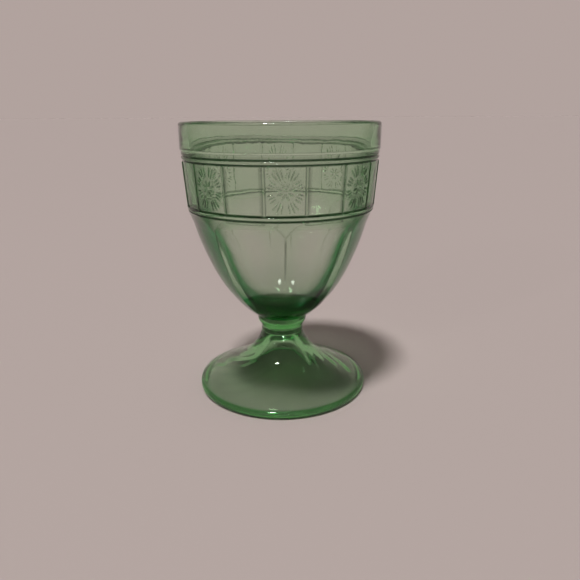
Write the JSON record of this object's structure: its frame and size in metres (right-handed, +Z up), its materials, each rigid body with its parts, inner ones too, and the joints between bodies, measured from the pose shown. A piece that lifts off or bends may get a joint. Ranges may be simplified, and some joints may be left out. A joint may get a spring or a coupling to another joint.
{
  "type": "footed glass tumbler",
  "caption": "Pressed green glass footed tumbler: straight plain rim, banded panels with rosettes, fluted round lower bowl, ringed neck and hollow spreading foot.",
  "frame": {"origin": "centre of the foot's base, on the table", "axes": "+Z up along the glass's axis; an ornamented panel faces -Y"},
  "size_m": [0.0898, 0.0898, 0.127],
  "materials": {
    "bowl_glass": "fire-polished clear pale green pressed glass, smooth inside, moulded pattern outside",
    "neck_glass": "clear green glass, deep green because it is solid, fire polished",
    "foot_glass": "clear green pressed glass, smooth on top, lightly rubbed on the flat ring it rests on"
  },
  "bodies": {
    "root": {"bowl": "bowl_glass", "neck_wafer": "neck_glass", "foot": "foot_glass"}
  },
  "joints": []
}
